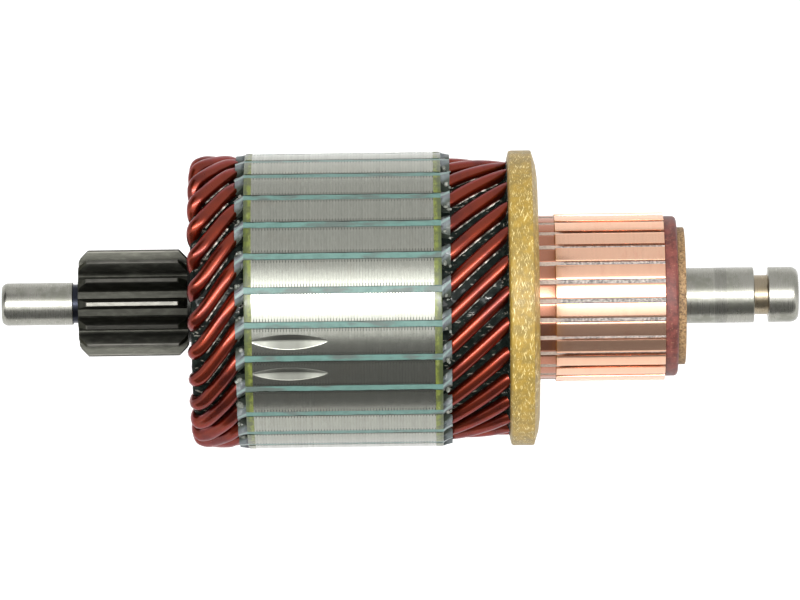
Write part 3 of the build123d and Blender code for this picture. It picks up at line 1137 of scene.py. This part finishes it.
class ARMATURE_OT_add_band(Operator):
    """Add the banding ring over the risers and the tan ring at the end"""

    bl_idname = "armature.add_band"
    bl_label = "Add banding and end rings"

    def execute(self, context):
        clearance = 0.04 * MM
        inner = RISER_RADIUS + clearance
        bore = COLLAR_RADIUS + clearance
        wound_face = (0.3, -0.35), (0.55, -0.08), (1.0, 0), (4.6, 0), (4.95, -0.12), (5.35, -1.4)
        sloped_face = (-0.45, -2.9), (-0.15, -5.1), (-0.05, -8.6), (0, -11.9)
        band = turned("banding_ring", [
            *near(BAND_START, inner, (0.1, 0), (0, 0.25)),
            *near(BAND_START, BAND_RADIUS, *wound_face),
            *near(COLLAR_START, BAND_RADIUS, *sloped_face),
            (COLLAR_START, bore),
            (RISER_END, bore),
            (RISER_END, inner),
        ])
        finished(band, band_resin(), 40.0, "riser_band")
        washer = turned("tan_ring", [
            (HUB_END, SEAT_RADIUS),
            (WASHER_END, SEAT_RADIUS),
            *near(WASHER_END, WASHER_RADIUS, (0, -0.25), (-0.08, -0.08), (-0.25, 0)),
            *near(HUB_END, WASHER_RADIUS, (0.1, 0), (0, -0.1)),
        ])
        finished(washer, tan_fibre(), 40.0, "end_washer")
        return {"FINISHED"}


class ARMATURE_OT_add_varnish(Operator):
    """Add the varnish pools, threads and beads between the wires"""

    bl_idname = "armature.add_varnish"
    bl_label = "Add varnish"

    def execute(self, context):
        # partly painted shade: the near-black pools are real varnish between the wires and also stand for
        # the shade inside the winding
        dark = varnish("varnish", tone("varnish"), shade(tone("varnish"), 3.0))
        clear = varnish("clear_varnish", (0.13, 0.14, 0.12), (0.30, 0.31, 0.28))
        # painted highlight: the threads' pale patches stand in for the white glints of light on the varnish
        # along the wires
        pale = varnish("pale_varnish", (0.06, 0.06, 0.05), (0.9, 0.88, 0.78))
        nose = (-0.3, 22.4), (-0.8, 24.2), (-0.7, 25.8), (0, 26.6), (2.17, 27.1), (3.47, 27.3), (5.77, 27.3)
        drive = self.add_pool("drive_varnish", [
            *near(NOSE_X, 0, *nose),
            *near(DRIVE_FACE, 0, (-2.23, 27.3), (-0.73, 27.1), (-0.03, 26.9), (-0.03, 22.4)),
        ])
        commutator = self.add_pool("commutator_varnish", [
            *near(COMMUTATOR_FACE, 0, (0.02, 24.4), (0.02, 26.9), (2.07, 26.9), (6.07, 26.5), (9.57, 26.15)),
            *near(BAND_START, 0, (-1.63, 26.2), (-0.73, 26.7), (-0.08, 27.9), (0.67, 28.1)),
            *near(RISER_START, 0, (-0.03, 28.1), (-0.03, 24.4)),
        ])
        threads = self.add_threads(context.scene.armature_winding)
        beads = self.add_beads()
        for piece, material in ((drive, dark), (commutator, dark), (threads, pale), (beads, clear)):
            finished(piece, material, 60.0)
        return {"FINISHED"}

    def add_pool(self, name, corners):
        """A turned skin of varnish, sampled finely and given an uneven surface."""
        step = 0.45 * MM
        profile = [corners[0]]
        for here, there in zip(corners, corners[1:]):
            profile += sampled(here, there, max(1, round(dist(here, there) / step)))
        pool = turned(name, profile, fineness=2)
        roughen(pool, "varnish_runs", 1.6 * MM, 0.4 * MM)
        return pool

    def add_threads(self, sizes):
        """Runs of varnish that lie along the lower side of every outer wire."""
        _, splay_end, splay_start, _, rise_end, twist_end, *_ = hairpin_stations(sizes)
        steps = 24
        threads = []
        for first, last, start, stop, drop, aside in (
            (splay_start, splay_end, 0.12, 0.97, 0.45 * MM, 2.05 * MM),
            (rise_end, twist_end, 0.0, 0.85, 0.38 * MM, 2.75 * MM),
        ):
            places = [between(first, last, start + (stop - start) * k / steps) for k in range(steps + 1)]
            route = [(x, radius - drop, angle + aside / radius) for x, radius, angle in places]
            threads += copies_round(swept("varnish_thread", route, 0.17 * MM, 2))
        threads = join(threads, "varnish_threads")
        roughen(threads, "thread_runs", 1.1 * MM, 0.25 * MM)
        return threads

    def add_beads(self):
        """Drops of varnish in the corners of the paper cuffs."""
        chance = Random(7)
        beads = []
        corners = [
            *near(COMMUTATOR_FACE, 0, (0.9, 28.55), (1.5, 28.1)),
            *near(DRIVE_FACE, 0, (-0.9, 28.7), (-1.5, 28.3)),
        ]
        asides = 1.5 * MM, 2.1 * MM, -1.3 * MM, -0.9 * MM
        for slot in range(SLOTS):
            for (x, radius), aside in zip(corners, asides):
                place = polar(
                    x + chance.uniform(-0.3, 0.3) * MM, radius,
                    SLOT_PHASE + slot * SLOT_PITCH + (aside + chance.uniform(-0.35, 0.35) * MM) / radius,
                )
                bpy.ops.mesh.primitive_ico_sphere_add(
                    subdivisions=3, radius=chance.uniform(0.3, 0.65) * MM, location=place,
                    scale=[chance.uniform(0.6, 1.2) for _ in range(3)],
                )
                beads.append(bpy.context.object)
        beads = join(beads, "varnish_beads")
        bpy.ops.object.transform_apply()
        roughen(beads, "bead_runs", 0.5 * MM, 0.25 * MM)
        return beads


def plain_material(name, value, camera_strength):
    """A matt stage material that shows a camera or a mirror some light of its own."""
    finish = Finish(name, Roughness=0.9, Base_Color=(*value, 1.0), Specular_IOR_Level=0.0)
    rays = finish.add("ShaderNodeLightPath", {}, {})
    kinds = "Is Camera Ray", "Is Glossy Ray", "Is Transmission Ray"
    seen = sum(Amount(finish, rays.outputs[kind]) for kind in kinds)
    glow = finish.add("ShaderNodeEmission", {}, {"Color": (1, 1, 1, 1), "Strength": seen * camera_strength})
    both = finish.add("ShaderNodeAddShader", {}, {0: finish.shader.outputs[0], 1: glow.outputs[0]})
    output = next(node for node in finish.nodes if node.type == "OUTPUT_MATERIAL")
    finish.links.new(both.outputs[0], output.inputs["Surface"])
    return finish.material


class ARMATURE_OT_add_studio(Operator):
    """Add the pale floor, the soft lights, the bright surroundings and the camera"""

    bl_idname = "armature.add_studio"
    bl_label = "Add studio"

    def execute(self, context):
        settings = context.scene.armature_studio
        middle = (SHAFT_START + SHAFT_STOP) / 2
        paint = plain_material("floor_paint", tuple(settings.floor_colour), 0.3)
        self.add_card("floor", (middle, 0, -settings.floor_drop), (12.0, 12.0), (0, 0, 0), paint)
        self.add_card("backdrop", (middle, 2.9, 4.0), (9.0, 9.0), (pi / 2, 0, 0), paint)
        self.add_flag("front_flag", (middle - 0.1, -0.195, -0.20), (0.95, 0.37), (0, 0, 0), 0.2)
        aside = Vector((-0.68, -0.48, 0.56))
        facing = aside.to_track_quat("Z", "Y").to_euler()
        self.add_flag("side_flag", Vector((middle, 0, 0)) + aside, (0.85, 0.85), facing, 0.05)
        self.add_light("front_light", (middle, -1.75, -0.05), 0.94, settings.front_power)
        self.add_light("upper_light", (middle, -1.75, 0.58), 0.32, settings.upper_power)
        self.add_light("strip_light", (middle, -1.74, 0.0), 0.16, settings.strip_power)
        self.add_world(context)
        self.add_camera(context)
        return {"FINISHED"}

    def add_card(self, name, place, size, turn, material):
        """A flat card of the stage."""
        bpy.ops.mesh.primitive_plane_add(size=1.0, location=place, rotation=turn)
        card = bpy.context.object
        card.name = name
        card.scale = (*size, 1)
        bpy.ops.object.transform_apply()
        card.data.materials.append(material)
        return card

    def add_flag(self, name, place, size, turn, level):
        """A dark card that only reflections see."""
        material = Finish(name, Base_Color=(level, level, level, 1), Roughness=1.0).material
        flag = self.add_card(name, place, size, turn, material)
        flag.visible_camera = False
        flag.visible_diffuse = False
        flag.visible_shadow = False

    def add_light(self, name, place, height, power):
        """A wide soft light that faces the armature from the front."""
        bpy.ops.object.light_add(type="AREA", location=place, rotation=(pi / 2, 0, 0))
        lamp = bpy.context.object
        lamp.name = name
        lamp.data.shape = "RECTANGLE"
        lamp.data.size = 3.2
        lamp.data.size_y = height
        lamp.data.energy = power

    def add_world(self, context):
        """White to the camera, and a softer white as light."""
        world = bpy.data.worlds.new("surroundings")
        context.scene.world = world
        world.use_nodes = True
        nodes, links = world.node_tree.nodes, world.node_tree.links
        rays = nodes.new("ShaderNodeLightPath")
        share = nodes.new("ShaderNodeMath")
        share.operation = "MAXIMUM"
        links.new(rays.outputs["Is Camera Ray"], share.inputs[0])
        links.new(rays.outputs["Is Transmission Ray"], share.inputs[1])
        level = nodes.new("ShaderNodeMapRange")
        level.inputs["To Min"].default_value = 0.82
        level.inputs["To Max"].default_value = 1.0
        links.new(share.outputs[0], level.inputs[0])
        links.new(level.outputs[0], nodes["Background"].inputs["Strength"])
        nodes["Background"].inputs["Color"].default_value = (1, 1, 1, 1)

    def add_camera(self, context):
        """A long lens straight in front, turned and shifted a little as in the photograph."""
        turn = pi / 2, radians(0.757), 0
        bpy.ops.object.camera_add(location=(79.4 * MM, -1.43, -0.2 * MM), rotation=turn)
        camera = bpy.context.object
        camera.name = "photo_camera"
        camera.data.lens = 315.3
        camera.data.sensor_width = 36
        camera.data.shift_x = -27 / 800
        camera.data.clip_start = 0.01
        camera.data.clip_end = 50
        context.scene.camera = camera
        context.scene.view_settings.view_transform = "Standard"


class ARMATURE_PT_sidebar(Panel):
    """The armature's sizes, colours and buttons"""

    bl_label = "Motor Armature"
    bl_idname = "ARMATURE_PT_sidebar"
    bl_space_type = "VIEW_3D"
    bl_region_type = "UI"
    bl_category = "Armature"

    def draw(self, context):
        for group_name in GROUPS:
            group = getattr(context.scene, group_name)
            box = self.layout.box()
            for key in group.bl_rna.properties.keys():
                if key not in ("rna_type", "name"):
                    box.prop(group, key)
        for operator in BUILDERS:
            self.layout.operator(operator.bl_idname)


GROUPS = {
    "armature_winding": WindingSizes,
    "armature_core": CoreSizes,
    "armature_commutator": CommutatorSizes,
    "armature_colours": FinishColours,
    "armature_studio": StudioSettings,
}

BUILDERS = (
    ARMATURE_OT_add_shaft,
    ARMATURE_OT_add_core,
    ARMATURE_OT_add_discs,
    ARMATURE_OT_add_liners,
    ARMATURE_OT_add_winding,
    ARMATURE_OT_add_commutator,
    ARMATURE_OT_add_band,
    ARMATURE_OT_add_varnish,
    ARMATURE_OT_add_studio,
)


def register():
    for kind in (*GROUPS.values(), *BUILDERS, ARMATURE_PT_sidebar):
        bpy.utils.register_class(kind)
    for name, kind in GROUPS.items():
        setattr(bpy.types.Scene, name, PointerProperty(type=kind))


def unregister():
    for name in GROUPS:
        delattr(bpy.types.Scene, name)
    for kind in reversed((*GROUPS.values(), *BUILDERS, ARMATURE_PT_sidebar)):
        bpy.utils.unregister_class(kind)


def main():
    """Builds every piece and the stage."""
    register()
    bpy.ops.armature.add_shaft()
    bpy.ops.armature.add_core()
    bpy.ops.armature.add_discs()
    bpy.ops.armature.add_liners()
    bpy.ops.armature.add_winding()
    bpy.ops.armature.add_commutator()
    bpy.ops.armature.add_band()
    bpy.ops.armature.add_varnish()
    bpy.ops.armature.add_studio()


if __name__ == "__main__":
    main()
